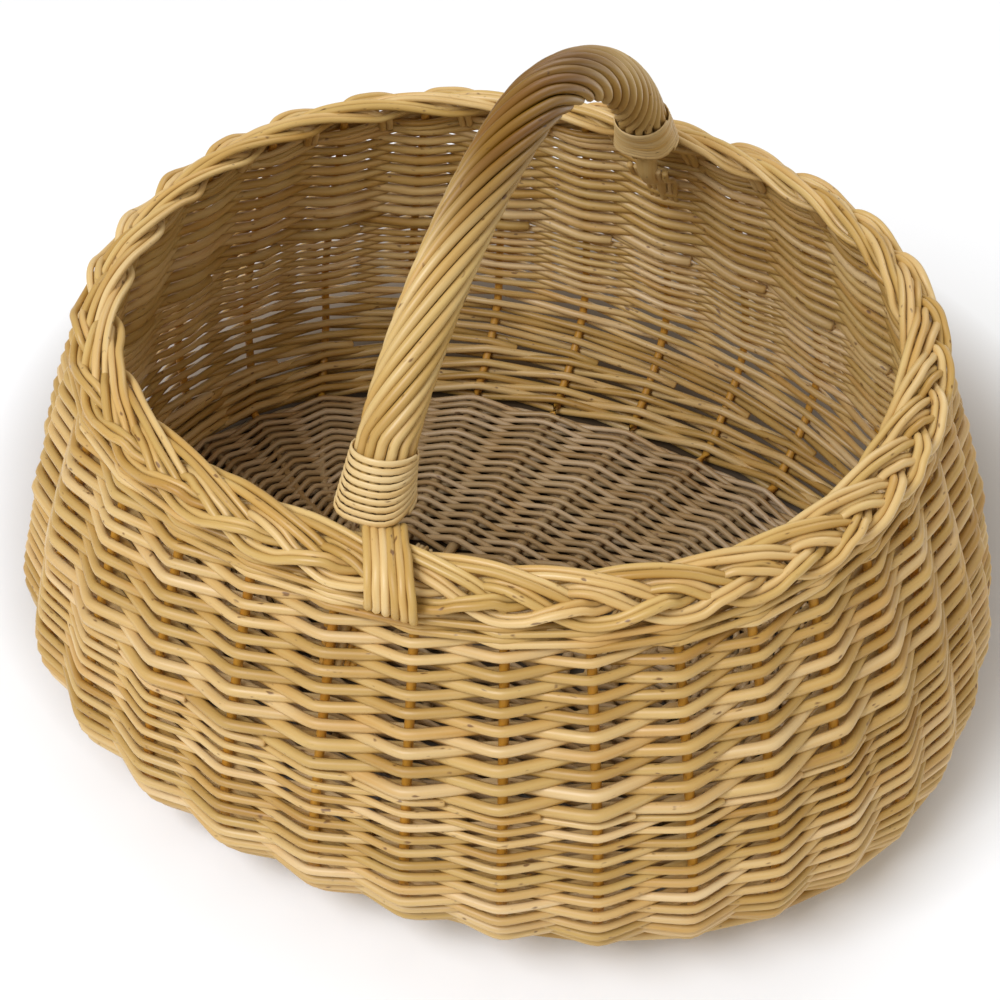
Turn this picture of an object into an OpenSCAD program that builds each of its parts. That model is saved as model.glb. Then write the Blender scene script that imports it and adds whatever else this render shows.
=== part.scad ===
// Oval willow egg basket with a fixed roped bow handle.
// The basket rests on the foot round at Z = 0. X runs along the length, Y across it and from one
// handle foot to the other, Z up. The origin is the middle of the resting plane.

/* [Wall] */
// Half length of the wall at the foot, its lowest place
foot_x = 208; // [202:1:214]
// Half width of the wall at the foot
foot_y = 148; // [144:1:152]
// Half length of the wall at the belly, its widest place
belly_x = 223; // [219:1:228]
// Half width of the wall at the belly
belly_y = 196; // [190:1:200]
// Height of the belly
belly_z = 59; // [52:1:66]
// Half length of the wall at the rim
rim_x = 181; // [176:1:186]
// Half width of the wall at the rim
rim_y = 162; // [158:1:166]
// Height of the wall, up to the underside of the border
wall_h = 187; // [184:1:190]
// Squareness of the oval plan (2 is an ellipse)
squareness = 2.2; // [2:0.1:2.4]

/* [Stakes] */
// Thickness of a stake
stake_d = 4.4; // [4:0.2:4.8]
// Turn in degrees of the whole ring of stakes around the basket
stake_shift = 2; // [0:0.5:3]
// Greatest turn in degrees of a stake off its evenly spaced place
stake_stray = 8; // [0:0.5:8]

/* [Siding] */
// Height where the lower siding meets the upper siding
band_join_z = 106; // [102:1:110]
// Woven rounds in the lower siding
lower_rounds = 6; // [5:1:6]
// Woven rounds in the upper siding
upper_rounds = 5; // [4:1:5]
// Thickness of a woven round
round_t = 3; // [2.8:0.1:3.2]
// Distance that a round passes in front of or behind the stakes
weave_out = 5.3; // [5.2:0.1:5.4]

/* [Base] */
// Thickness of a base stick that crosses the width
cross_stick_d = 6.4; // [6:0.2:6.6]
// Thickness of a base stick that runs along the length
long_stick_d = 4; // [3.6:0.2:4.2]
// Height of the middle of the base sticks
base_z = 7.2; // [7.2:0.1:7.6]

/* [Border] */
// Distance that a plait strand swings inwards and outwards
plait_swing = 9.5; // [9:0.5:10]
// Distance that a plait strand rises and falls
plait_lift = 4.8; // [4.6:0.1:5]
// Radius of a plait strand
plait_r = 3.2; // [3:0.1:3.2]
// Full swings of the plait around the rim
plait_turns = 11; // [10:1:11]

/* [Handle] */
// Distance that the handle stands off the middle of the length
handle_x = 7; // [0:1:10]
// Sideways shift of the arch for each unit of length across the basket
handle_skew = 0.035; // [0:0.005:0.04]
// Height of the middle of the grip at the top of the arch
arch_top_z = 302; // [295:1:320]
// Half span of the arch between its two feet
arch_half = 136; // [135:0.5:136.5]
// Roundness of the arch (2 is an ellipse)
arch_round = 1.65; // [1.6:0.05:2]
// Radius of the bow rod inside the grip
bow_r = 5; // [4.5:0.5:5]
// Outer radius of the roped grip
grip_r = 11.5; // [11.5:0.5:12.5]
// Length of handle that one turn of the rope takes
rope_pitch = 170; // [150:5:200]
// Height of the binding around each foot of the grip
collar_h = 19; // [18:1:24]

/* [Hidden] */

// Powers of the profile curve below and above the belly
foot_curve = 2.4;
shoulder_curve = 1.2;
stake_count = 32;
stake_step = 360 / stake_count;
// Turn where a stake stands farthest off its evenly spaced place
stray_turn = 60;
rod_sides = 6;
gap = 0.4;
eps = 0.01;

peeled = [0.87, 0.72, 0.50];
pale = [0.91, 0.79, 0.60];
golden = [0.80, 0.62, 0.30];
floor_tone = [0.72, 0.58, 0.44];

foot_z = 5;
foot_h = 4.4;
foot_out = 1;
upsett_start = 9;
upsett_top = 24.5;
siding_top = 179;
upsett_t = 3.6;
upsett_rounds = 2;

// The edge of the base lies this far inside the foot of the wall
base_in = 5;
base_edge_x = foot_x - base_in;
base_edge_y = foot_y - base_in;
slath_x = 92;
slath_y = 25;
base_rounds = 4;
base_round_t = 3;
base_over = cross_stick_d / 2 + base_round_t / 2 + 2 * gap;
// Shares of the way from the slath to the edge where the grouped and the open rounds begin
weave_start = 0.22;
open_start = 0.34;

border_z = 197;
border_in = 6;
border_slope = 0.2;

// Heights where the arch leaves the basket and where the grip on it begins
arch_foot_z = 190;
grip_foot_z = 205;
collar_z = 210.2;

// ---------- curves ----------

function half_width(foot, belly, rim, z) =
    z < belly_z
    ? foot + (belly - foot) * (1 - pow((belly_z - max(z, foot_z)) / (belly_z - foot_z), foot_curve))
    : belly + (rim - belly) * pow((z - belly_z) / (wall_h - belly_z), shoulder_curve);

// Point of an oval with half sides a and b, at turn t (degrees)
function oval(a, b, t) =
    let (k = pow(pow(abs(cos(t)), squareness) + pow(abs(sin(t)), squareness), -1 / squareness))
    [a * k * cos(t), b * k * sin(t)];

function unit(v) = v / norm(v);
function mix(p, q, f) = p + (q - p) * f;

// Middle of the wall at turn t and height z
function wall_point(t, z) =
    let (p = oval(half_width(foot_x, belly_x, rim_x, z), half_width(foot_y, belly_y, rim_y, z), t))
    [p[0], p[1], z];

function wall_along(t, z) = unit(wall_point(t + 1, z) - wall_point(t - 1, z));
function wall_up(t, z) = unit(wall_point(t, z + 1) - wall_point(t, z - 1));
function wall_out(t, z) = unit(cross(wall_along(t, z), wall_up(t, z)));

// The stakes stand closer together at the front right than at the back left
function even_turn(i) = (i + 0.5) * stake_step;
function stake_turn(i) = even_turn(i) - stake_shift - stake_stray * cos(even_turn(i) - stray_turn);

// ---------- solids from rings of points ----------

// Joins rings of points into one solid; closed joins the last ring to the first.
// The points of a ring turn clockwise as seen from the ring after it.
module skin(rings, closed) {
    m = len(rings[0]);
    n = len(rings);
    sides = [
        for (i = [0 : n - (closed ? 1 : 2)])
            for (j = [0 : m - 1])
                let (a = i * m + j, b = i * m + (j + 1) % m,
                     c = (i + 1) % n * m + (j + 1) % m, d = (i + 1) % n * m + j)
                for (f = [[a, b, c], [a, c, d]]) f
    ];
    caps = closed ? [] : [
        [for (j = [m - 1 : -1 : 0]) j],
        [for (j = [0 : m - 1]) (n - 1) * m + j]
    ];
    polyhedron(points = [for (ring = rings) for (p = ring) p], faces = concat(sides, caps));
}

// Round rod of radius r along a path; its cross sections are level with the side vector
module rod(path, r, side) {
    n = len(path);
    rings = [
        for (i = [0 : n - 1])
            let (d = unit(path[min(i + 1, n - 1)] - path[max(i - 1, 0)]),
                 v = unit(cross(d, side)),
                 u = cross(v, d))
            [for (j = [0 : rod_sides - 1])
                path[i] + r * (u * cos(-j * 360 / rod_sides) + v * sin(-j * 360 / rod_sides))]
    ];
    skin(rings, false);
}

// One woven round of the wall between two heights, outside every second stake and inside
// the others
module wall_round(z0, z1, thick, first_out) {
    rings = [
        for (k = [0 : 2 * stake_count - 1])
            let (t = stake_turn(k / 2),
                 at_stake = k % 2 == 0,
                 side = (k / 2 % 2 == 0) ? first_out : -first_out,
                 off = at_stake ? side * weave_out : 0,
                 near = off - thick / 2,
                 far = off + thick / 2)
            [
                wall_point(t, z0) + wall_out(t, z0) * near,
                wall_point(t, z1) + wall_out(t, z1) * near,
                wall_point(t, z1) + wall_out(t, z1) * far,
                wall_point(t, z0) + wall_out(t, z0) * far
            ]
    ];
    skin(rings, true);
}

module wall_band(z0, z1, rounds, thick, first_out) {
    h = (z1 - z0) / rounds;
    for (k = [0 : rounds - 1])
        wall_round(z0 + k * h + gap / 2, z0 + (k + 1) * h - gap / 2, thick,
                   k % 2 == 0 ? first_out : -first_out);
}

// ---------- base ----------

// A base stick's end on the edge of the base, and the place where it leaves the slath
function stick_end(i) = oval(base_edge_x, base_edge_y, stake_turn(i));

// Sticks 4 to 7 of each quarter cross the width and sticks 0 to 3 run along the length
function crosses(i) = let (q = i % 16) q >= 4 && q <= 11;

cross_root_x = [14, 42, 67, 84];
long_root_y = [2.7, 8.1, 13.5, 18.9];

// Counts a stick's place from the nearer axis: 0 is next to that axis
function place_from_y(i) = let (q = i % 16) q <= 7 ? 7 - q : q - 8;
function place_from_x(i) = let (q = i % 16) q <= 7 ? q : 15 - q;

function stick_root(i) =
    let (side_x = sign(cos(even_turn(i))), side_y = sign(sin(even_turn(i))))
    crosses(i)
    ? [side_x * cross_root_x[place_from_y(i)], side_y * slath_y]
    : [side_x * slath_x, side_y * long_root_y[place_from_x(i)]];

// The stick at the other end of the same rod
function across_width(i) = stake_count - 1 - i;
function along_length(i) = (stake_count / 2 - 1 - i + stake_count) % stake_count;

function flat_path(points) = [for (p = points) [p[0], p[1], base_z]];

module oval_plate(a, b) {
    corners = 4 * stake_count;
    polygon([for (k = [0 : corners - 1]) oval(a, b, k * 360 / corners)]);
}

module foot_wale() {
    color(peeled)
    linear_extrude(foot_h)
    difference() {
        oval_plate(foot_x + foot_out, foot_y + foot_out);
        oval_plate(base_edge_x + gap, base_edge_y + gap);
    }
}

// Each stick is one rod from end to end, split in the middle where the long sticks pass through
module base_cross_sticks() {
    slot_h = long_stick_d + gap;
    slot_w = 2 * (long_root_y[3] + long_stick_d / 2 + gap);
    color(floor_tone)
    for (i = [4 : 11]) {
        j = across_width(i);
        difference() {
            rod(flat_path([stick_end(i), stick_root(i), stick_root(j), stick_end(j)]),
                cross_stick_d / 2, [1, 0, 0]);
            translate([stick_root(i)[0] - cross_stick_d, -slot_w / 2, base_z - slot_h / 2])
                cube([2 * cross_stick_d, slot_w, slot_h]);
        }
    }
}

module base_long_sticks() {
    color(floor_tone)
    for (i = [0 : 3])
        for (a = [i, across_width(i)]) {
            b = along_length(a);
            rod(flat_path([stick_end(a), stick_root(a), stick_root(b), stick_end(b)]),
                long_stick_d / 2, [0, 1, 0]);
        }
}

// Loops that tie the long sticks together between the cross sticks
module slath_ties() {
    tie_t = 1.6;
    tie_w = 6;
    middle = (cross_root_x[1] + cross_root_x[2]) / 2;
    in_w = 2 * (long_root_y[3] + long_stick_d / 2 + gap);
    in_h = long_stick_d + 2 * gap;
    color(pale)
    for (x = [-middle, -middle / 2, 0, middle / 2, middle])
        translate([x, 0, base_z])
        difference() {
            cube([tie_w, in_w + 2 * tie_t, in_h + 2 * tie_t], center = true);
            cube([tie_w + 2 * eps, in_w, in_h], center = true);
        }
}

// Whether a round passes over stick i (1) or under it (-1). A grouped round takes each fan of
// long sticks together: over the fan at the +X end, under the other.
function over_or_under(i, grouped) =
    grouped && !crosses(i) ? sign(stick_end(i)[0]) : (i % 2 == 0 ? -1 : 1);

// One woven round of the base between two shares of the way from the slath to the edge
module base_round(f0, f1, first_up, grouped) {
    rings = [
        for (k = [0 : 2 * stake_count - 1])
            let (i = floor(k / 2),
                 j = (i + k % 2) % stake_count,
                 p0 = (mix(stick_root(i), stick_end(i), f0) + mix(stick_root(j), stick_end(j), f0)) / 2,
                 p1 = (mix(stick_root(i), stick_end(i), f1) + mix(stick_root(j), stick_end(j), f1)) / 2,
                 pass = (over_or_under(i, grouped) + over_or_under(j, grouped)) / 2,
                 low = base_z + pass * first_up * base_over - base_round_t / 2,
                 high = low + base_round_t)
            [
                [p0[0], p0[1], low], [p0[0], p0[1], high],
                [p1[0], p1[1], high], [p1[0], p1[1], low]
            ]
    ];
    skin(rings, true);
}

module base_weave() {
    step = (1 - open_start) / base_rounds;
    clear = 0.006;
    color(floor_tone) {
        base_round(weave_start, open_start - clear, -1, true);
        for (k = [0 : base_rounds - 1])
            base_round(open_start + k * step + clear, open_start + (k + 1) * step - clear,
                       k % 2 == 0 ? 1 : -1, false);
    }
}

// ---------- wall ----------

module side_stakes() {
    levels = 9;
    level_power = 1.25;
    past_edge = 1.5;
    color(golden)
    for (i = [0 : stake_count - 1]) {
        t = stake_turn(i);
        butt = oval(base_edge_x + past_edge, base_edge_y + past_edge, t);
        upright = [for (k = [0 : levels - 1])
            wall_point(t, mix(base_z, wall_h, pow(k / (levels - 1), level_power)))];
        rod(concat([[butt[0], butt[1], base_z]], upright), stake_d / 2, wall_along(t, belly_z));
    }
}

module upsett_wale() {
    color(peeled) wall_band(upsett_start, upsett_top, upsett_rounds, upsett_t, -1);
}

module siding_lower() {
    color(peeled) wall_band(upsett_top, band_join_z, lower_rounds, round_t, -1);
}

module siding_upper() {
    color(peeled) wall_band(band_join_z, siding_top, upper_rounds, round_t, -1);
}

module top_wale() {
    color(peeled) wall_round(siding_top + gap, wall_h - gap, round_t, 1);
}

// ---------- border ----------

// One strand of the three-strand plait that the stake tops are woven into
module border_strand(phase) {
    per_turn = 9;
    n = plait_turns * per_turn;
    function centre(k) =
        let (t = k * 360 / n,
             swing = plait_swing * sin(k * 360 / per_turn + phase),
             lift = -plait_lift * sin(2 * (k * 360 / per_turn + phase)),
             base = oval(rim_x - border_in, rim_y - border_in, t),
             out = wall_out(t, wall_h - 1),
             flat_out = unit([out[0], out[1], 0]))
        [base[0], base[1], border_z] + flat_out * swing + [0, 0, lift - border_slope * swing];
    rings = [
        for (k = [0 : n - 1])
            let (d = unit(centre((k + 1) % n) - centre((k + n - 1) % n)),
                 v = unit(cross(d, [0, 0, 1])),
                 u = cross(v, d))
            [for (j = [0 : rod_sides - 1])
                centre(k) + plait_r * (u * cos(-j * 360 / rod_sides) + v * sin(-j * 360 / rod_sides))]
    ];
    color(pale) skin(rings, true);
}

// ---------- handle ----------

arch_rise = arch_top_z - arch_foot_z;

// Where the plane of the handle stands at a place y across the basket
function handle_at(y) = handle_x + handle_skew * y;

// Middle line of the arch at share f of the half turn from the front foot to the back foot
function arch_point(f) =
    let (c = -cos(180 * f), s = sin(180 * f), p = 2 / arch_round,
         y = arch_half * sign(c) * pow(abs(c), p))
    [handle_at(y), y, arch_foot_z + arch_rise * pow(s, p)];

// Share of the arch at height z on its front half
function arch_share(z) = asin(pow((z - arch_foot_z) / arch_rise, arch_round / 2)) / 180;

arch_steps = 60;
arch_path = [for (k = [0 : arch_steps]) arch_point(k / arch_steps)];
grip_path = [for (k = [0 : arch_steps])
    arch_point(mix(arch_share(grip_foot_z), 1 - arch_share(grip_foot_z), k / arch_steps))];

function path_length(path, k) = k == 0 ? 0 : path_length(path, k - 1) + norm(path[k] - path[k - 1]);

// The bow's buried end: straight down past the border, then along the inside of the wall
bow_straight_z = 187;
bow_wall_levels = [168, 150, 130];
bow_inset = 13;
function bow_end(side) = concat(
    [[handle_at(side * arch_half), side * arch_half, bow_straight_z]],
    [for (z = bow_wall_levels)
        [handle_at(side * arch_half), side * (half_width(foot_y, belly_y, rim_y, z) - bow_inset), z]]
);

module handle_bow() {
    front = bow_end(-1);
    back = bow_end(1);
    color(peeled)
    rod(concat([for (k = [len(front) - 1 : -1 : 0]) front[k]], arch_path, back), bow_r, [1, 0, 0]);
}

// One of the four rope strands laid around the bow
module handle_rope(phase) {
    spread = 39.5;
    inner = bow_r + gap + 1;
    rings = [
        for (k = [0 : arch_steps])
            let (turn = phase + path_length(grip_path, k) / rope_pitch * 360,
                 d = unit(grip_path[min(k + 1, arch_steps)] - grip_path[max(k - 1, 0)]),
                 u = [1, 0, 0],
                 v = cross(d, u))
            [for (c = [[inner, -spread], [inner, 0], [inner, spread],
                       [grip_r, spread], [grip_r, 0], [grip_r, -spread]])
                grip_path[k] + c[0] * (u * cos(turn + c[1]) + v * sin(turn + c[1]))]
    ];
    color(peeled) skin(rings, false);
}

// Nine turns of split skein around one foot of the grip. The lowest turn is the widest and lies
// level above the border; the turns above it lean a little with the arch.
module collar(side) {
    turns = 9;
    pitch = collar_h / turns;
    turn_gap = 0.7;
    skein_t = 1;
    top_bore_r = grip_r + 1.1;
    flare = 1.9;
    top_lean = 0.6;
    f_step = 0.002;
    for (k = [0 : turns - 1]) {
        share = (k + 0.5) / turns;
        f = arch_share(collar_z + share * collar_h);
        d = arch_point(f + f_step) - arch_point(f - f_step);
        p = arch_point(f);
        bore_r = top_bore_r + flare * pow(1 - share, 1.5);
        translate([handle_at(-side * p[1]), -side * p[1], p[2]])
            rotate([side * atan2(d[1], d[2]) * share * top_lean, 0, 0])
            rotate_extrude($fn = 64)
            translate([bore_r, (turn_gap - pitch) / 2])
            square([skein_t, pitch - turn_gap]);
    }
}

module front_collar() {
    color(pale) collar(-1);
}

module back_collar() {
    color(pale) collar(1);
}

// Six rods that leave one side of the grip's foot, cross over the border at a slant and tuck in
// under it
module strap(side) {
    rods = 6;
    strap_r = 1.8;
    slant = 0.5;
    beside = 10;
    inner_y = arch_half + grip_r - strap_r;
    outer_y = rim_y - border_in + plait_swing + plait_r + strap_r + 2;
    clear = 1.2;
    top_z = border_z + plait_lift + plait_r + strap_r + clear;
    path = [
        [inner_y, top_z], [outer_y - 8, top_z - 1],
        [outer_y - 1, top_z - 6], [outer_y + 1, border_z - 2], [outer_y - 1, border_z - 9]
    ];
    for (k = [0 : rods - 1])
        rod([for (p = path)
                [handle_at(side * arch_half) + (k - (rods - 1) / 2) * (2 * strap_r + gap)
                 - side * (beside + slant * (p[0] - inner_y)), side * p[0], p[1]]],
            strap_r, [1, 0, 0]);
}

module front_strap() {
    color(peeled) strap(-1);
}

module back_strap() {
    color(peeled) strap(1);
}

// Ends of the handle rods, pushed down the inside of the wall beside the bow
module tails(side) {
    per_side = 2;
    tail_r = 1.4;
    tail_pitch = 3.6;
    tail_levels = [178, 160, 140, 118];
    flare = 1 / 12;
    tail_inset = 10.5;
    for (k = [-per_side : per_side])
        if (k != 0)
            rod([for (z = tail_levels)
                [handle_at(side * arch_half) + k * tail_pitch
                 + sign(k) * (bow_r + (z - tail_levels[3]) * flare),
                 side * (half_width(foot_y, belly_y, rim_y, z) - tail_inset), z]],
                tail_r, [1, 0, 0]);
}

module front_tails() {
    color(golden) tails(-1);
}

module back_tails() {
    color(golden) tails(1);
}

foot_wale();
base_cross_sticks();
base_long_sticks();
slath_ties();
base_weave();
side_stakes();
upsett_wale();
siding_lower();
siding_upper();
top_wale();
border_strand(0);  // border_strand_a
border_strand(120);  // border_strand_b
border_strand(240);  // border_strand_c
handle_bow();
handle_rope(0);  // handle_rope_a
handle_rope(90);  // handle_rope_b
handle_rope(180);  // handle_rope_c
handle_rope(270);  // handle_rope_d
front_collar();
back_collar();
front_strap();
back_strap();
front_tails();
back_tails();
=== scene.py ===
"""Looks of the oval willow egg basket: every rod of the weave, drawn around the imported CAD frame."""

import math

import bpy
import numpy as np
from mathutils import Matrix, Vector


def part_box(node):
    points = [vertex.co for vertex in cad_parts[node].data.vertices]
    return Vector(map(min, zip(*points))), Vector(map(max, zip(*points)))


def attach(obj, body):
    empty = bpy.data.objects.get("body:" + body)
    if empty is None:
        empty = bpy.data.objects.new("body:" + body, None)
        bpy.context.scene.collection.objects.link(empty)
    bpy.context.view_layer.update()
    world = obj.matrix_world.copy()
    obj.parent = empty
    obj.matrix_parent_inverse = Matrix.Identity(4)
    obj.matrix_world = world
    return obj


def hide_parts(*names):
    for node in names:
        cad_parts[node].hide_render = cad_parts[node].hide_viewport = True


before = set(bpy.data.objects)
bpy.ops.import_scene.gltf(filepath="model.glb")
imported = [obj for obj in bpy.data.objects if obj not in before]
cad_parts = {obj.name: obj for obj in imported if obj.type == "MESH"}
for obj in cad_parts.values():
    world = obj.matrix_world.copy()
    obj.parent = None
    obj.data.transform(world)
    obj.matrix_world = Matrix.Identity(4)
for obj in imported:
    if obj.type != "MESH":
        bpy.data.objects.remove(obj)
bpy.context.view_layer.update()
# The one source of unevenness; a fixed seed makes every run the same
chance = np.random.default_rng(11)

MM = 0.001
FULL_TURN = 2 * math.pi

# ---------- driving dimensions ----------

STAKES = 32
STAKE_STEP = FULL_TURN / STAKES
STAKE_R = 2.2 * MM
# The stakes stand closer together at the front right than at the back left
STAKE_SHIFT, STAKE_STRAY, STRAY_TURN = np.radians([2, 8, 60])
SQUARENESS = 2.2
FOOT_CURVE = 2.4
SHOULDER_CURVE = 1.2

foot_low, foot_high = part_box("foot_wale")
lower_low, lower_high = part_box("siding_lower")
upper_low, upper_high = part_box("siding_upper")
plait_low, plait_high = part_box("border_strand_a")
bow_low, bow_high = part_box("handle_bow")
cross_low, cross_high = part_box("base_cross_sticks")
stakes_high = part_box("side_stakes")[1]
upsett_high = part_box("upsett_wale")[1]
wale_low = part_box("top_wale")[0]

# Half sizes of the wall's middle surface at the foot, the belly and the rim
FOOT = (foot_high.x - 1 * MM, foot_high.y - 1 * MM)
BELLY = (stakes_high.x - STAKE_R, stakes_high.y - STAKE_R)
RIM = (0.812 * BELLY[0], 0.8265 * BELLY[1])
WALL_H = stakes_high.z - 0.7 * MM
FOOT_Z = 5 * MM
BELLY_Z = 0.3155 * WALL_H
BASE_Z = (cross_low.z + cross_high.z) / 2
BASE_EDGE = (FOOT[0] - 5 * MM, FOOT[1] - 5 * MM)
BOW_R = 5 * MM
ARCH_TOP = bow_high.z - BOW_R


# ---------- curves ----------

def unit(v):
    return v / np.linalg.norm(v, axis=-1, keepdims=True)


def half_width(foot, belly, rim, z):
    """Half size of the wall at a height, from its half sizes at the foot, the belly and the rim."""
    below = np.clip((BELLY_Z - z) / (BELLY_Z - FOOT_Z), 0, 1)
    above = np.clip((z - BELLY_Z) / (WALL_H - BELLY_Z), 0, None)
    return np.where(
        z < BELLY_Z,
        foot + (belly - foot) * (1 - below**FOOT_CURVE),
        belly + (rim - belly) * above**SHOULDER_CURVE,
    )


def squared_off(c, s, power):
    """How far a squared circle reaches in the direction c, s; power 2 is a true circle."""
    return (np.abs(c) ** power + np.abs(s) ** power) ** (-1 / power)


def oval(a, b, turn):
    """Point of an oval with half sides a and b, at a turn in radians."""
    c, s = np.cos(turn), np.sin(turn)
    k = squared_off(c, s, SQUARENESS)
    return a * k * c, b * k * s


def wall_point(turn, z):
    """Middle of the wall at a turn and a height."""
    turn, z = np.broadcast_arrays(np.asarray(turn, float), np.asarray(z, float))
    x, y = oval(half_width(FOOT[0], BELLY[0], RIM[0], z), half_width(FOOT[1], BELLY[1], RIM[1], z), turn)
    return np.stack([x, y, z], axis=-1)


def wall_out(turn, z):
    """Outward normal of the wall."""
    d_turn, d_z = 0.01, 1 * MM
    along = wall_point(turn + d_turn, z) - wall_point(turn - d_turn, z)
    up = wall_point(turn, z + d_z) - wall_point(turn, z - d_z)
    return unit(np.cross(along, up))


def even_turn(i):
    return (i + 0.5) * STAKE_STEP


def stake_turn(i):
    return even_turn(i) - STAKE_SHIFT - STAKE_STRAY * np.cos(even_turn(i) - STRAY_TURN)


def levels_on_wall(z0, z1, shares):
    """Heights at the given shares of the way up the curve of the wall between two heights."""
    z = np.linspace(z0, z1, 60)
    curve = np.column_stack([half_width(FOOT[1], BELLY[1], RIM[1], z), z])
    run = np.concatenate([[0], np.cumsum(np.linalg.norm(np.diff(curve, axis=0), axis=1))])
    return np.interp(np.asarray(shares) * run[-1], run, z)


def between_stakes(s, z):
    """A place on the straight chord between two stakes; s counts stakes, z holds its heights."""
    n = np.floor(s)
    f = (s - n)[:, None]
    here = wall_point(stake_turn(n), z) * (1 - f) + wall_point(stake_turn(n + 1), z) * f
    out = unit(wall_out(stake_turn(n), z) * (1 - f) + wall_out(stake_turn(n + 1), z) * f)
    return here, out


# Part of a gap over which a rod bends around its stake
BEND = 0.14


def bulge(u):
    """Depth of a woven rod at u gaps from a stake: 1 at the stake, 0 halfway to the next one."""
    u = np.abs(u)
    return np.where(u < BEND, 1 - BEND - u**2 / BEND, 1 - 2 * u) / (1 - BEND)


def smoothstep(x, start, end):
    t = np.clip((x - start) / (end - start), 0, 1)
    return t * t * (3 - 2 * t)


# ---------- rods ----------

class Piece:
    """Round rods gathered into one mesh. Each point keeps its rod's tone and its place on the rod."""

    def __init__(self):
        self.points, self.quads, self.fans, self.places, self.tones = [], [], [], [], []
        self.count = 0

    def rod(self, path, radius, guide, sides=8, flatness=1.0, closed=False, tone=None):
        """Sweeps a rod along path. Its first side faces guide, and flatness squeezes it along guide."""
        path = np.asarray(path, float)
        radius = np.array(np.broadcast_to(radius, len(path)), float)
        guide = np.array(np.broadcast_to(guide, path.shape), float)
        if not closed:
            path, radius, guide = with_rounded_ends(path, radius, guide)
        n = len(path)
        if closed:
            ahead = unit(np.roll(path, -1, axis=0) - np.roll(path, 1, axis=0))
        else:
            ahead = unit(np.gradient(path, axis=0))
        side = unit(guide - ahead * np.sum(guide * ahead, axis=1, keepdims=True))
        up = np.cross(ahead, side)
        angle = FULL_TURN * np.arange(sides) / sides
        ring = (side[:, None] * (flatness * np.cos(angle))[None, :, None]
                + up[:, None] * np.sin(angle)[None, :, None])
        points = (path[:, None] + ring * radius[:, None, None]).reshape(-1, 3)
        steps = np.linalg.norm(np.diff(path, axis=0), axis=1)
        run = np.concatenate([[0], np.cumsum(steps)])
        around = np.stack([np.cos(angle), np.sin(angle)], axis=1)[None] * radius[:, None, None]
        places = np.concatenate([np.repeat(run, sides)[:, None], around.reshape(-1, 2)], axis=1)

        i = np.arange(n if closed else n - 1)[:, None]
        j = np.arange(sides)[None]
        j2 = (j + 1) % sides
        i2 = (i + 1) % n
        corners = [i * sides + j, i * sides + j2, i2 * sides + j2, i2 * sides + j]
        self.quads.append(self.count + np.stack([c.ravel() for c in corners], axis=1))
        if not closed:
            first, last = n * sides, n * sides + 1
            j, j2 = j.ravel(), j2.ravel()
            self.fans.append(self.count + np.stack([j2, j, np.full(sides, first)], axis=1))
            end = (n - 1) * sides
            self.fans.append(self.count + np.stack([end + j, end + j2, np.full(sides, last)], axis=1))
            points = np.concatenate([points, path[:1], path[-1:]])
            places = np.concatenate([places, [[run[0], 0, 0]], [[run[-1], 0, 0]]])
        self.points.append(points)
        self.places.append(places)
        self.tones.append(np.full(len(points), chance.random() if tone is None else tone))
        self.count += len(points)

    def build(self, name, nodes, slot, material):
        """Makes the mesh object, in place of the CAD nodes."""
        mesh = bpy.data.meshes.new(name)
        faces = np.concatenate(self.quads).tolist() + [list(f) for fan in self.fans for f in fan.tolist()]
        mesh.from_pydata(np.concatenate(self.points).tolist(), [], faces)
        mesh.polygons.foreach_set("use_smooth", np.ones(len(mesh.polygons), bool))
        place = mesh.attributes.new("rod_place", "FLOAT_VECTOR", "POINT")
        place.data.foreach_set("vector", np.concatenate(self.places).astype(np.float32).ravel())
        tone = mesh.attributes.new("rod_tone", "FLOAT", "POINT")
        tone.data.foreach_set("value", np.concatenate(self.tones).astype(np.float32))
        mesh.materials.append(material)
        made = bpy.data.objects.new(name, mesh)
        bpy.context.scene.collection.objects.link(made)
        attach(made, "root")
        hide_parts(*nodes)
        return made


def with_rounded_ends(path, radius, guide):
    """Adds a small chamfer ring at both ends of a rod."""
    chamfer, narrow = 0.35, 0.72
    start = unit(path[0] - path[1]) * radius[0] * chamfer
    end = unit(path[-1] - path[-2]) * radius[-1] * chamfer
    path = np.concatenate([[path[0] + start], path, [path[-1] + end]])
    radius = np.concatenate([[radius[0] * narrow], radius, [radius[-1] * narrow]])
    guide = np.concatenate([guide[:1], guide, guide[-1:]])
    return path, radius, guide


def smooth_path(points, per_span):
    """Catmull-Rom curve through points (rows of numbers)."""
    p = np.asarray(points, float)
    p = np.concatenate([[2 * p[0] - p[1]], p, [2 * p[-1] - p[-2]]])
    t = np.linspace(0, 1, per_span, endpoint=False)[:, None]
    spans = []
    for a, b, c, d in zip(p[:-3], p[1:-2], p[2:-1], p[3:]):
        spans.append(0.5 * (2 * b + (c - a) * t + (2 * a - 5 * b + 4 * c - d) * t**2
                            + (3 * b - a - 3 * c + d) * t**3))
    return np.concatenate(spans + [p[-2:-1]])


# ---------- materials ----------

def srgb(red, green, blue):
    """Linear colour of an 8-bit sRGB one."""
    out = []
    for c in (red, green, blue):
        c /= 255
        out.append(c / 12.92 if c <= 0.04045 else ((c + 0.055) / 1.055) ** 2.4)
    return (*out, 1.0)


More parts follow.
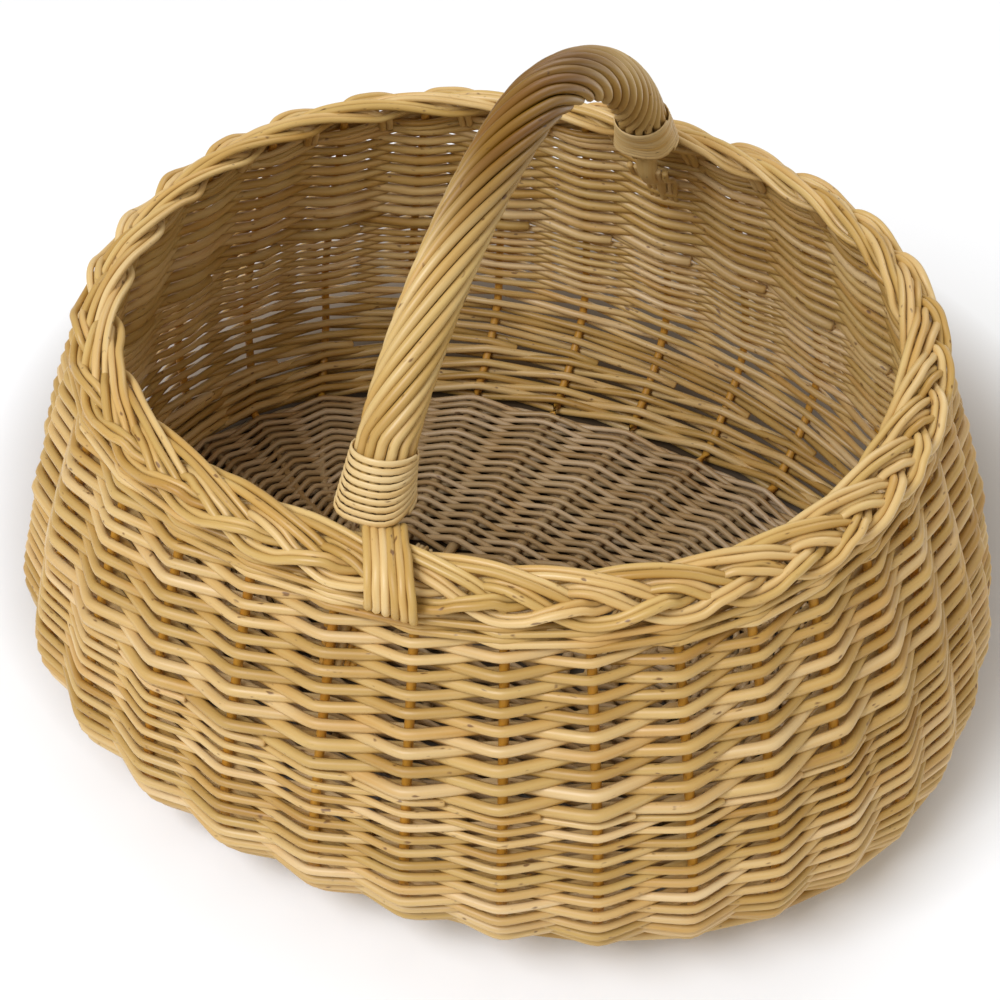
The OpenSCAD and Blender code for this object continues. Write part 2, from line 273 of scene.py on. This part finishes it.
class Nodes:
    """Short names for building a node tree."""

    def __init__(self, material):
        material.use_nodes = True
        self.tree = material.node_tree
        self.shader = self.tree.nodes["Principled BSDF"]

    def add(self, kind, **values):
        node = self.tree.nodes.new(kind)
        for name, value in values.items():
            setattr(node, name, value)
        return node

    def put(self, source, target):
        if hasattr(source, "is_output"):
            self.tree.links.new(source, target)
        else:
            target.default_value = source

    def math(self, operation, a, b):
        node = self.add("ShaderNodeMath", operation=operation)
        self.put(a, node.inputs[0])
        self.put(b, node.inputs[1])
        return node.outputs[0]

    def vector(self, operation, a, b):
        node = self.add("ShaderNodeVectorMath", operation=operation)
        self.put(a, node.inputs[0])
        self.put(b, node.inputs[1])
        return node.outputs[0]

    def attribute(self, name, output):
        return self.add("ShaderNodeAttribute", attribute_name=name).outputs[output]

    def noise(self, place, detail):
        node = self.add("ShaderNodeTexNoise")
        self.put(place, node.inputs["Vector"])
        node.inputs["Scale"].default_value = 1.0
        node.inputs["Detail"].default_value = detail
        return node.outputs["Fac"]

    def ramp(self, fac, stops):
        node = self.add("ShaderNodeValToRGB")
        elements = node.color_ramp.elements
        while len(elements) < len(stops):
            elements.new(0.5)
        for element, (at, colour) in zip(elements, stops):
            element.position = at
            element.color = colour
        self.put(fac, node.inputs["Fac"])
        return node.outputs["Color"]

    def spread(self, fac, low, high, to_low, to_high):
        node = self.add("ShaderNodeMapRange")
        for socket, value in zip(node.inputs, (fac, low, high, to_low, to_high)):
            self.put(value, socket)
        return node.outputs[0]

    def mix(self, fac, a, b, blend="MIX"):
        node = self.add("ShaderNodeMix", data_type="RGBA", blend_type=blend)
        self.put(fac, node.inputs["Factor"])
        self.put(a, node.inputs[6])
        self.put(b, node.inputs[7])
        return node.outputs[2]


# Noise cells a metre, along a rod and across it
GRAIN_CELLS = (28, 620, 620)
PATCH_CELLS = (16, 70, 70)
SPECK_CELLS = (190, 420, 420)
# How far the patterns move from the darkest rod to the palest, so that no two rods match
PATTERN_SHIFT = (7.1, 3.3, 5.7)
BUD_BROWN = srgb(96, 58, 26)
HONEY_STAIN = srgb(230, 203, 132)
# Colour of the painted shade that darkens the top of the handle
PAINTED_HANDLE_SHADE = srgb(166, 142, 48)


def willow(name, tones, roughness, painted_top_shade=None):
    """Peeled willow: each rod its own tone, with long grain streaks, stained patches and bud specks.
    Between the two heights of painted_top_shade it darkens upwards, with painted shade."""
    material = bpy.data.materials.new(name)
    n = Nodes(material)
    tone = n.attribute("rod_tone", "Fac")
    place = n.attribute("rod_place", "Vector")
    shifted = n.vector("ADD", place, n.vector("MULTIPLY", tone_vector(n, tone), PATTERN_SHIFT))
    grain = n.noise(n.vector("MULTIPLY", shifted, GRAIN_CELLS), 3.0)
    patches = n.noise(n.vector("MULTIPLY", shifted, PATCH_CELLS), 2.0)
    specks = n.noise(n.vector("MULTIPLY", shifted, SPECK_CELLS), 1.0)

    count = len(tones) - 1
    base = n.ramp(tone, [(i / count, colour) for i, colour in enumerate(tones)])
    stained = n.mix(n.spread(patches, 0.46, 0.72, 0.0, 0.62), base, HONEY_STAIN, "MULTIPLY")
    streaked = n.mix(n.spread(grain, 0.35, 0.72, 0.0, 0.38), stained, HONEY_STAIN, "MULTIPLY")
    speck_mask = n.spread(specks, 0.70, 0.78, 0.0, 0.8)
    colour = n.mix(speck_mask, streaked, BUD_BROWN)
    # Painted shade: the rods darken towards the top, between the two given heights
    if painted_top_shade:
        height = n.add("ShaderNodeSeparateXYZ")
        n.put(n.add("ShaderNodeTexCoord").outputs["Object"], height.inputs[0])
        colour = n.mix(n.spread(height.outputs["Z"], *painted_top_shade, 0.0, 1.0), colour, PAINTED_HANDLE_SHADE, "MULTIPLY")
    n.put(colour, n.shader.inputs["Base Color"])

    rougher = n.spread(grain, 0.3, 0.7, roughness, roughness + 0.16)
    n.put(rougher, n.shader.inputs["Roughness"])
    n.shader.inputs["Specular IOR Level"].default_value = 0.55
    n.shader.inputs["Specular Tint"].default_value = (1.0, 0.92, 0.90, 1.0)
    bump = n.add("ShaderNodeBump")
    bump.inputs["Strength"].default_value = 0.35
    bump.inputs["Distance"].default_value = 0.25 * MM
    n.put(n.math("SUBTRACT", grain, n.math("MULTIPLY", speck_mask, 0.6)), bump.inputs["Height"])
    n.put(bump.outputs["Normal"], n.shader.inputs["Normal"])
    return material


def tone_vector(n, tone):
    node = n.add("ShaderNodeCombineXYZ")
    for socket in node.inputs:
        n.put(tone, socket)
    return node.outputs[0]


siding_willow = willow("siding_willow", [
    srgb(174, 139, 72), srgb(196, 163, 98), srgb(208, 177, 120), srgb(188, 155, 88), srgb(216, 187, 138),
], 0.38)
# The stakes' darker, more orange tones are painted shade, for stakes seen in the gaps between the weavers
stake_willow = willow("stake_willow", [
    srgb(188, 134, 40), srgb(200, 148, 56), srgb(192, 140, 48),
], 0.42)
base_willow = willow("base_willow", [
    srgb(160, 133, 92), srgb(178, 151, 110), srgb(192, 167, 132),
], 0.42)
border_willow = willow("border_willow", [
    srgb(184, 149, 80), srgb(204, 172, 106), srgb(216, 186, 130), srgb(196, 162, 94),
], 0.36)
# The handle's rods darken towards the top of the arch: painted shade
handle_willow = willow("handle_willow", [
    srgb(184, 151, 84), srgb(204, 175, 118), srgb(194, 163, 98),
], 0.36, painted_top_shade=(ARCH_TOP - 20 * MM, ARCH_TOP + 3 * MM))
skein = willow("skein", [
    srgb(210, 182, 128), srgb(220, 194, 146),
], 0.34)


# ---------- wall ----------

# Places in the gap between two stakes where a woven rod has its points
GAP_STOPS = np.array([0, 0.07, 0.16, 0.36, 0.64, 0.84, 0.93])
# Space between a stake and the rod that bends around it
CLEAR = 0.2 * MM


def stops_between(start, end):
    """Sample places from start to end, counted in stakes, closer together where a rod bends."""
    whole = np.arange(math.floor(start), math.ceil(end) + 1)
    inside = (whole[:, None] + GAP_STOPS[None]).ravel()
    inside = inside[(inside > start) & (inside < end)]
    return np.concatenate([[start], inside, [end]])


def ripple(s, z):
    """Slow unevenness of the rounds around the wall."""
    return 0.5 * MM * (np.sin(0.59 * s + 31 * z) + 0.7 * np.sin(1.18 * s - 57 * z + 1.0))


def siding(z0, z1, levels, butt_r, tip_r, tail):
    """A band of French randing: every stake starts one rod, which climbs one level a stake. The rods
    thin from butt_r to tip_r. They start head of a gap before a stake and end tail of a gap after."""
    piece = Piece()
    head = 0.32
    unevenness = 0.22 * MM
    thick = butt_r + (tip_r - butt_r) * np.arange(levels + 1) / levels
    stacked = np.concatenate([[0], np.cumsum((thick[1:] + thick[:-1]) / 2)])
    heights = levels_on_wall(z0, z1, stacked / stacked[-1])
    level = np.arange(-1, levels + 2)
    for start in range(STAKES):
        q = stops_between(-head, levels + tail)
        girth = chance.uniform(0.93, 1.09)
        radius = girth * (butt_r + (tip_r - butt_r) * np.clip(q, 0, levels) / levels)
        step = heights[1] - heights[0]
        z = np.interp(q, level, np.concatenate([[heights[0] - step], heights, [heights[-1] + step]]))
        z = z + np.interp(q, level, chance.normal(0, unevenness, len(level)))
        z = z + ripple(q + start, z)
        nearest = np.round(q)
        side = np.where(nearest % 2 == 1, 1.0, -1.0)
        reach = np.interp(q, level, chance.uniform(0.9, 1.04, len(level)))
        depth = side * bulge(q - nearest) * (STAKE_R + radius + CLEAR) * reach
        here, out = between_stakes(q + start, z)
        piece.rod(here + out * depth[:, None], radius, out)
    return piece


def wale(z0, z1, rows, rod_r, taper=1.0):
    """Three rods that each pass in front of two stakes and behind one, twisting over each other.
    From behind a stake a rod comes out low, and before it goes behind the next one it is high."""
    piece = Piece()
    length = rows * STAKES
    hop_h = 0.275 * (z1 - z0) / rows
    for k in range(3):
        q = stops_between(k, k + length)
        last = math.ceil(q[-1]) + 1
        phase = (np.arange(last + 1) - k) % 3
        side = np.where(phase == 0, -1.0, 1.0)
        hop = np.array([0, -hop_h, hop_h])[phase]
        n = np.floor(q).astype(int)
        f = q - n
        same = side[n] == side[n + 1]
        nearer = np.where(f < 0.5, side[n], side[n + 1])
        swing = np.where(same, side[n], nearer * bulge(np.minimum(f, 1 - f)))
        radius = rod_r * chance.uniform(0.94, 1.06) * (1 + (taper - 1) * (q - k) / length)
        climb = np.maximum((q - k) / length, 0.5 / rows)
        z = levels_on_wall(z0, z1, climb) + hop[n] * (1 - f) + hop[n + 1] * f
        here, out = between_stakes(q, z)
        piece.rod(here + out * (swing * (STAKE_R + radius + CLEAR))[:, None], radius, out)
    return piece


def stakes():
    """The uprights, each with its butt in the edge of the base. They sway a little sideways."""
    piece = Piece()
    past_edge = 1.5 * MM
    sway = 0.004
    level = np.linspace(0, 1, 16) ** 1.2
    for i in range(STAKES):
        turn = stake_turn(i)
        butt = np.array([*oval(BASE_EDGE[0] + past_edge, BASE_EDGE[1] + past_edge, turn), BASE_Z])
        z = BASE_Z + (WALL_H - BASE_Z) * level
        path = np.concatenate([[butt], wall_point(turn + chance.normal(0, sway) * level, z)])
        radius = STAKE_R * np.linspace(1.04, 0.9, len(path))
        piece.rod(path, radius, wall_out(turn, BELLY_Z))
    return piece


UPSETT_START = BASE_Z - 1 * MM
UPSETT_TOP = (upsett_high.z + lower_low.z) / 2
JOIN_Z = (lower_high.z + upper_low.z) / 2
SIDING_TOP = (upper_high.z + wale_low.z) / 2
siding_lower = siding(UPSETT_TOP - 0.5 * MM, JOIN_Z, 25, 2.05 * MM, 1.5 * MM, 0.4)
siding_upper = siding(JOIN_Z + 1 * MM, SIDING_TOP, 18, 2.55 * MM, 1.95 * MM, 0.5)
upsett = wale(UPSETT_START, UPSETT_TOP, 4, 2.15 * MM)
top_wale = wale(SIDING_TOP, WALL_H + 1 * MM, 2, 1.6 * MM, 0.9)

siding_lower.build("lower_siding_rods", ["siding_lower"], "siding_willow", siding_willow)
siding_upper.build("upper_siding_rods", ["siding_upper"], "siding_willow", siding_willow)
upsett.build("upsett_rods", ["upsett_wale"], "siding_willow", siding_willow)
top_wale.build("top_wale_rods", ["top_wale"], "siding_willow", siding_willow)
stakes().build("wall_stakes", ["side_stakes"], "stake_willow", stake_willow)


# ---------- base ----------

CROSS_R = (cross_high.z - cross_low.z) / 2
LONG_R = 2 * MM
# Half sides of the slath, the crossing in the middle of the base, and the places of its sticks
SLATH = (92 * MM, 25 * MM)
CROSS_ROOTS = np.array([14, 42, 67, 84]) * MM
LONG_ROOTS = np.array([2.7, 8.1, 13.5, 18.9]) * MM
FLOOR_ROUNDS = 37
FLOOR_ROD_R = 1.55 * MM
HALF = STAKES // 2
QUARTER = STAKES // 4


def stick_end(i):
    return np.array(oval(*BASE_EDGE, stake_turn(i)))


def crosses(i):
    """Whether base stick i runs across the width; the others fan out of the slath's two ends."""
    return QUARTER // 2 <= i % HALF < HALF - QUARTER // 2


def stick_root(i):
    """Where a base stick leaves the slath."""
    quadrant = np.sign([math.cos(even_turn(i)), math.sin(even_turn(i))])
    q = i % HALF
    if crosses(i):
        place = QUARTER - 1 - q if q < QUARTER else q - QUARTER
        return quadrant * (CROSS_ROOTS[place], SLATH[1])
    place = q if q < QUARTER else HALF - 1 - q
    return quadrant * (SLATH[0], LONG_ROOTS[place])


def base_stick(piece, a, b, radius, guide):
    corners = [stick_end(a), stick_root(a), stick_root(b), stick_end(b)]
    path = smooth_path([(*p, BASE_Z) for p in corners], 6)
    piece.rod(path, radius * chance.uniform(0.95, 1.05), guide, 10)


def cross_sticks():
    piece = Piece()
    for i in range(QUARTER // 2, HALF - QUARTER // 2):
        base_stick(piece, i, STAKES - 1 - i, CROSS_R, (1, 0, 0))
    return piece


def long_sticks():
    piece = Piece()
    for i in range(QUARTER // 2):
        for a in (i, STAKES - 1 - i):
            base_stick(piece, a, (HALF - 1 - a) % STAKES, LONG_R, (0, 1, 0))
    return piece


def floor_weave():
    """Rounds that pass over and under the base sticks in turn, straight from stick to stick."""
    piece = Piece()
    stops = np.array([0, 0.1, 0.26, 0.74, 0.9])
    unevenness = 0.0015
    ends = np.array([stick_end(i) for i in range(STAKES)])
    roots = np.array([stick_root(i) for i in range(STAKES)])
    stick_r = np.array([CROSS_R if crosses(i) else LONG_R for i in range(STAKES)])
    for k in range(FLOOR_ROUNDS):
        share = (k + 0.8) / FLOOR_ROUNDS
        q = (np.arange(STAKES)[:, None] + stops[None]).ravel()
        n = np.floor(q).astype(int)
        f = (q - n)[:, None]
        own_share = share + chance.normal(0, unevenness, STAKES)
        anchors = roots + (ends - roots) * own_share[:, None]
        flat = anchors[n] * (1 - f) + anchors[(n + 1) % STAKES] * f
        nearest = np.round(q).astype(int)
        side = np.where((nearest + k) % 2 == 0, 1.0, -1.0)
        radius = FLOOR_ROD_R * chance.uniform(0.9, 1.1)
        rise = side * bulge(q - nearest) * (stick_r[nearest % STAKES] + radius)
        path = np.column_stack([flat, BASE_Z + rise])
        piece.rod(path, radius, (0, 0, 1), 7, closed=True)
    return piece


def slath_binding():
    """Thin rods wound around the long sticks between the cross sticks."""
    piece = Piece()
    tie_r = 1.1 * MM
    middle = (CROSS_ROOTS[1] + CROSS_ROOTS[2]) / 2
    half_w = LONG_ROOTS[-1] + LONG_R + 1.2 * MM
    half_h = LONG_R + 1.2 * MM
    turns, steps = 3, 14
    for x in (-middle, -middle / 2, 0, middle / 2, middle):
        t = np.linspace(0, turns * FULL_TURN, turns * steps)
        c, s = np.cos(t), np.sin(t)
        squeeze = squared_off(c, s, 4)
        path = np.column_stack([
            x + (t / t[-1] - 0.5) * turns * 2.3 * MM,
            half_w * c * squeeze,
            BASE_Z + half_h * s * squeeze,
        ])
        piece.rod(path, tie_r, (1, 0, 0), 7)
    return piece


def foot_rope():
    """Three rods twisted together under the edge of the base: what the basket rests on."""
    piece = Piece()
    middle_z = (foot_low.z + foot_high.z) / 2
    strand_r = 1.3 * MM
    ring_w = foot_high.x - BASE_EDGE[0]
    swing_out = ring_w / 2 - strand_r
    swing_up = (foot_high.z - foot_low.z) / 2 - strand_r
    twists = STAKES * 2 // 3
    turn = np.linspace(0, FULL_TURN, STAKES * 10, endpoint=False)
    x, y = oval(foot_high.x - ring_w / 2, foot_high.y - ring_w / 2, turn)
    out = wall_out(turn, BELLY_Z)
    for k in range(3):
        phase = turn * twists + k * FULL_TURN / 3
        path = np.column_stack([x, y, middle_z + swing_up * np.sin(phase)])
        path += out * (swing_out * np.cos(phase))[:, None]
        piece.rod(path, strand_r, (0, 0, 1), 8, closed=True)
    return piece


cross_sticks().build("cross_sticks", ["base_cross_sticks"], "base_willow", base_willow)
long_sticks().build("long_sticks", ["base_long_sticks"], "base_willow", base_willow)
floor_weave().build("floor_weave", ["base_weave"], "base_willow", base_willow)
slath_binding().build("slath_binding", ["slath_ties"], "skein", skein)
foot_rope().build("foot_rope", ["foot_wale"], "base_willow", base_willow)


# ---------- border ----------

PLAIT_Z = (plait_low.z + plait_high.z) / 2
PLAIT_LINE = (RIM[0] - 6 * MM, RIM[1] - 6 * MM)
PLAIT_SLOPE = 0.2
PLAIT_ROD_R = 1.75 * MM
LANE = 1.95 * PLAIT_ROD_R

# Course of a stake's pair of rods, in stakes on from its own stake, millimetres outwards and
# millimetres up. It comes up under the inner bundle, dives over the pair two stakes back and under
# the next one to the outer edge, sweeps over two bundles, dives under two more to the inner edge,
# then runs on top beside a younger pair until it is tucked under at the outside.
PLAIT_COURSE = np.array([
    (-0.50, 3.8, -14.0), (-0.47, -1.6, -7.0), (-0.40, -3.6, -3.0), (-0.26, -3.2, 0.0),
    (-0.10, -2.0, 2.2), (0.08, -0.4, 3.1), (0.26, 1.5, 2.6), (0.45, 3.5, 0.8),
    (0.66, 5.3, -1.8), (0.95, 7.4, -3.2), (1.27, 8.2, -1.6), (1.50, 7.8, 1.4),
    (1.70, 6.8, 2.9), (1.90, 5.0, 2.6), (2.08, 3.0, -0.4), (2.35, -1.2, -2.8),
    (2.62, -6.2, -2.8), (2.85, -8.6, -1.2), (3.15, -8.6, 1.4), (3.50, -7.7, 3.9),
    (3.90, -5.7, 5.4), (4.30, -2.8, 5.1), (4.62, -0.6, 3.0), (4.88, 1.6, -0.4), (5.06, 3.0, -3.0),
])


def plait_place(s, swing, lift):
    """A place in the border: s counts stakes around, swing is outwards, lift is upwards."""
    turn = stake_turn(s)
    x, y = oval(*PLAIT_LINE, turn)
    out = unit(wall_out(turn, WALL_H) * (1, 1, 0))
    z = PLAIT_Z + lift - PLAIT_SLOPE * swing
    return np.column_stack([x, y, z]) + out * swing[:, None]


def border_rod(piece, stake, m):
    """One of a stake's pair of rods, on its course through the plait."""
    course = PLAIT_COURSE.copy()
    unevenness = 0.18
    course[:, 1:] += chance.normal(0, unevenness, (len(course), 2))
    q, swing, lift = smooth_path(course, 6).T
    centre = plait_place(q + stake, swing * MM, lift * MM)
    ahead = unit(np.gradient(centre, axis=0) * (1, 1, 0))
    across = np.cross(ahead, (0, 0, 1))
    upright = 1 - smoothstep(q, -0.48, -0.3)
    spread = (m - 0.5) * LANE
    along_wall = unit(np.cross((0, 0, 1), wall_out(stake_turn(q + stake), WALL_H)))
    path = centre + (across * (1 - upright)[:, None] + along_wall * upright[:, None]) * spread
    radius = PLAIT_ROD_R * chance.uniform(0.9, 1.08) * np.linspace(1.06, 0.9, len(q))
    piece.rod(path, radius, (0, 0, 1))


plaits = [Piece() for _ in range(3)]
for stake in range(STAKES):
    for m in range(2):
        border_rod(plaits[stake % 3], stake, m)
for plait, letter in zip(plaits, "abc"):
    plait.build(f"plait_rods_{letter}", [f"border_strand_{letter}"], "border_willow", border_willow)


# ---------- handle ----------

HANDLE_X = (bow_low.x + bow_high.x) / 2
HANDLE_SKEW = 0.035
ARCH_FOOT = 190 * MM
ARCH_HALF = 136 * MM
ARCH_ROUND = 1.65
GRIP_FOOT = plait_high.z - 1 * MM
GRIP_RODS = 14
GRIP_ROD_R = 2.0 * MM
GRIP_R = 11.5 * MM
ROPE_PITCH = 170 * MM
COLLAR_H = 20.5 * MM
COLLAR_TURNS = 9


def handle_at(y):
    """Where the plane of the handle stands at a place y across the basket."""
    return HANDLE_X + HANDLE_SKEW * y


def arch_point(f):
    """Middle line of the arch at share f of the half turn from the front foot to the back foot."""
    c, s = -np.cos(math.pi * f), np.sin(math.pi * f)
    power = 2 / ARCH_ROUND
    y = ARCH_HALF * np.sign(c) * np.abs(c) ** power
    return np.stack([handle_at(y), y, ARCH_FOOT + (ARCH_TOP - ARCH_FOOT) * s**power], axis=-1)


def arch_share(z):
    rise = (z - ARCH_FOOT) / (ARCH_TOP - ARCH_FOOT)
    return math.asin(rise ** (ARCH_ROUND / 2)) / math.pi


def along_arch(count, z):
    """Points on the arch at even distances, between the places at height z above both feet."""
    fine = arch_point(np.linspace(arch_share(z), 1 - arch_share(z), 400))
    run = np.concatenate([[0], np.cumsum(np.linalg.norm(np.diff(fine, axis=0), axis=1))])
    even = np.linspace(0, run[-1], count)
    return np.column_stack([np.interp(even, run, fine[:, k]) for k in range(3)]), even


def around_arch(points, angle, distance, lean=1.0):
    """Points beside the arch's middle line, at an angle around it; lean 0 keeps them level."""
    lean = np.broadcast_to(lean, len(points))[:, None]
    ahead = unit(lean * unit(np.gradient(points, axis=0)) + (1 - lean) * np.array([0, 0, 1.0]))
    u = np.broadcast_to([1.0, 0, 0], points.shape)
    v = np.cross(ahead, u)
    side = u * np.cos(angle)[:, None] + v * np.sin(angle)[:, None]
    return points + side * np.reshape(distance, (-1, 1)), side


def grip_rods():
    """The rods laid around the bow. They run straight in the bindings and are twisted more steeply
    just above them than at the top."""
    pieces = [Piece() for _ in range(4)]
    points, run = along_arch(150, GRIP_FOOT + 1 * MM)
    straight = 1.2 * COLLAR_H
    ease = 4 * MM
    steep_run, steeper = 60 * MM, 0.45
    from_foot = np.minimum(run, run[-1] - run)
    rate = 1 + steeper * (1 - smoothstep(from_foot, straight, straight + steep_run))
    rate = rate * smoothstep(from_foot, straight, straight + ease)
    turned = np.concatenate([[0], np.cumsum((rate[1:] + rate[:-1]) / 2 * np.diff(run))])
    turned = turned / ROPE_PITCH * FULL_TURN
    for k in range(GRIP_RODS):
        rod_r = GRIP_ROD_R * chance.uniform(0.94, 1.04)
        wander = 0.02 * np.sin(run * 40 + chance.uniform(0, 6))
        path, side = around_arch(points, turned + k * FULL_TURN / GRIP_RODS + wander, GRIP_R - rod_r)
        pieces[k * 4 // GRIP_RODS].rod(path, rod_r, side, 10)
    return pieces


def into_wall(side, shift, start_r, end_r):
    """Points and radii from a foot of the arch, out to the wall and down into the weave."""
    levels = np.array([188, 180, 170, 160, 148]) * MM
    into = np.array([0, 0, 9, 6, 3]) * MM
    y = half_width(FOOT[1], BELLY[1], RIM[1], levels) - into
    y[:2] = ARCH_HALF + np.array([1, 7]) * MM
    x = handle_at(side * ARCH_HALF) + shift * np.linspace(1, 0.7, len(levels))
    path = smooth_path(np.column_stack([x, side * y, levels]), 4)
    return path, np.linspace(start_r, end_r, len(path))


def bow():
    """The rod inside the grip. Its thinned ends run out to the wall and down into the weave."""
    piece = Piece()
    upper, _ = along_arch(40, ARCH_FOOT + 1 * MM)
    (front, front_r), (back, back_r) = [into_wall(side, 0.0, BOW_R, 1.8 * MM) for side in (-1, 1)]
    path = np.concatenate([front[::-1], upper, back])
    radius = np.concatenate([front_r[::-1], np.full(len(upper), BOW_R), back_r])
    piece.rod(path, radius, (1, 0, 0), 10)
    return piece


def collar(side):
    """A flat skein wound around one foot of the grip. Its turns widen and lie level at the border."""
    piece = Piece()
    per_turn = 28
    flare = 1.6 * MM
    top_lean = 0.6
    flatness = 0.45 if side < 0 else 0.3
    t = np.linspace(0, COLLAR_TURNS, COLLAR_TURNS * per_turn + 1)
    share = t / COLLAR_TURNS
    f = np.array([arch_share(z) for z in GRIP_FOOT + COLLAR_H * (share * 0.95 + 0.05)])
    if side > 0:
        f = 1 - f
    angle = t * FULL_TURN
    squareness = 3.2 - 1.2 * share
    corners = 0.9 * (squared_off(np.cos(angle), np.sin(angle), squareness) - 1)
    distance = (GRIP_R + 0.9 * MM + flare * (1 - share) ** 1.5) * (1 + corners)
    path, out = around_arch(arch_point(f), angle, distance, top_lean * share)
    piece.rod(path, COLLAR_H / COLLAR_TURNS * 0.62, out, 8, flatness=flatness)
    return piece


def strap(side):
    """Six rods that leave one side of the grip's foot, cross over the border and tuck in under it."""
    piece = Piece()
    rods, rod_r = 6, 1.8 * MM
    beside, slant = 11 * MM, 0.56
    inner_y = ARCH_HALF + GRIP_R - rod_r
    outer_y = PLAIT_LINE[1] + 10 * MM + PLAIT_ROD_R + rod_r
    top_z = PLAIT_Z + 6 * MM + PLAIT_ROD_R + rod_r
    outline = [
        (inner_y - 8 * MM, top_z - 3 * MM), (inner_y + 1 * MM, top_z - 0.8 * MM),
        (inner_y + 8 * MM, top_z), (outer_y - 7 * MM, top_z - 1.5 * MM),
        (outer_y - 1.5 * MM, top_z - 6 * MM), (outer_y + 0.5 * MM, PLAIT_Z - 2 * MM),
        (outer_y - 1.5 * MM, PLAIT_Z - 7 * MM), (outer_y - 6 * MM, PLAIT_Z - 10 * MM),
    ]
    spread = np.linspace(0.84, 1.06, len(outline))
    for k in range(rods):
        across = (k - (rods - 1) / 2) * 2 * rod_r * spread
        corners = [
            (handle_at(side * ARCH_HALF) + shift - side * (beside + slant * (y - inner_y))
             + chance.normal(0, 0.15 * MM), side * y, z)
            for shift, (y, z) in zip(across, outline)
        ]
        piece.rod(smooth_path(corners, 5), rod_r * chance.uniform(0.94, 1.05), (1, 0, 0))
    return piece


def tails(side):
    """Ends of the handle rods, pushed out to the wall and down into the weave beside the bow."""
    piece = Piece()
    for k in (-2, -1, 1, 2):
        path, radius = into_wall(side, k * 3.4 * MM + math.copysign(2 * MM, k), 1.7 * MM, 1.3 * MM)
        piece.rod(path, radius, (1, 0, 0), 7)
    return piece


bow().build("bow_rod", ["handle_bow"], "handle_willow", handle_willow)
for piece, letter in zip(grip_rods(), "abcd"):
    piece.build(f"grip_rods_{letter}", [f"handle_rope_{letter}"], "handle_willow", handle_willow)
for side, word in ((-1, "front"), (1, "back")):
    collar(side).build(f"{word}_binding", [f"{word}_collar"], "skein", skein)
    strap(side).build(f"{word}_strap_rods", [f"{word}_strap"], "handle_willow", border_willow)
tails(-1).build("front_tail_rods", ["front_tails"], "stake_willow", stake_willow)
tails(1).build("back_tail_rods", ["back_tails"], "siding_willow", siding_willow)


# ---------- floor, light and camera ----------

def studio_floor():
    """A pale floor, with an oval of painted shade under and behind the basket."""
    size = 15.0
    shade_centre = (-0.03, 0.11, 0)
    shade_sides = (BELLY[0], 1.05 * BELLY[1], 1.0)
    mesh = bpy.data.meshes.new("studio_floor")
    mesh.from_pydata([(-size, -size, 0), (size, -size, 0), (size, size, 0), (-size, size, 0)], [],
                     [(0, 1, 2, 3)])
    made = bpy.data.objects.new("studio_floor", mesh)
    bpy.context.scene.collection.objects.link(made)
    material = bpy.data.materials.new("studio_floor")
    n = Nodes(material)
    beside = n.vector("SUBTRACT", n.add("ShaderNodeTexCoord").outputs["Object"], shade_centre)
    place = n.vector("DIVIDE", beside, shade_sides)
    away = n.add("ShaderNodeVectorMath", operation="LENGTH")
    n.put(place, away.inputs[0])
    # Painted shade: darkest in the middle of the oval, the pale floor from its edge on
    shade = n.ramp(n.spread(away.outputs["Value"], 0.0, 2.0, 0.0, 1.0),
                   [(0.20, (0.07, 0.045, 0.025, 1)), (0.46, (0.22, 0.18, 0.14, 1)),
                    (0.60, (0.60, 0.57, 0.54, 1)), (0.70, (0.93, 0.93, 0.93, 1))])
    n.put(shade, n.shader.inputs["Base Color"])
    n.shader.inputs["Roughness"].default_value = 0.9
    n.shader.inputs["Specular IOR Level"].default_value = 0.0
    mesh.materials.append(material)


def area_light(name, place, target, size, power):
    data = bpy.data.lights.new(name, "AREA")
    data.color = (0.95, 1.0, 1.10)
    data.size = size
    data.energy = power
    made = bpy.data.objects.new(name, data)
    made.location = place
    made.rotation_euler = (Vector(target) - Vector(place)).to_track_quat("-Z", "Y").to_euler()
    bpy.context.scene.collection.objects.link(made)


def studio_light():
    """A warm surround and three soft lamps: the key at the front left, the others weaker."""
    world = bpy.data.worlds.new("studio")
    bpy.context.scene.world = world
    world.use_nodes = True
    world.node_tree.nodes["Background"].inputs["Color"].default_value = (1.0, 0.96, 0.88, 1)
    world.node_tree.nodes["Background"].inputs["Strength"].default_value = 0.58
    middle = (0, 0, 0.1)
    area_light("key", (-0.45, -1.1, 1.6), middle, 0.9, 27)
    area_light("fill", (1.3, -0.9, 1.0), middle, 1.2, 1.5)
    area_light("back", (0.2, 1.4, 1.3), middle, 1.0, 8)


def photo_camera():
    """The photograph's view: from the front right, looking down into the basket."""
    azimuth, elevation, roll = math.radians(22.75), math.radians(44.305), math.radians(1.088)
    distance = 840.9 * MM
    target = Vector((0, 0, 100 * MM))
    back = Vector((math.sin(azimuth) * math.cos(elevation),
                   -math.cos(azimuth) * math.cos(elevation), math.sin(elevation)))
    level = Vector((math.cos(azimuth), math.sin(azimuth), 0))
    upright = back.cross(level)
    right = math.cos(roll) * level + math.sin(roll) * upright
    up = math.cos(roll) * upright - math.sin(roll) * level
    data = bpy.data.cameras.new("photo_camera")
    data.sensor_width = 36
    data.lens = 65.52
    data.shift_x = -0.00724
    data.shift_y = -0.023
    data.clip_start, data.clip_end = 0.02, 50
    made = bpy.data.objects.new("photo_camera", data)
    bpy.context.scene.collection.objects.link(made)
    turn = Matrix((right, up, back)).transposed().to_4x4()
    made.matrix_world = Matrix.Translation(target + back * distance) @ turn
    bpy.context.scene.camera = made


studio_floor()
studio_light()
photo_camera()
bpy.context.scene.view_settings.view_transform = "Standard"
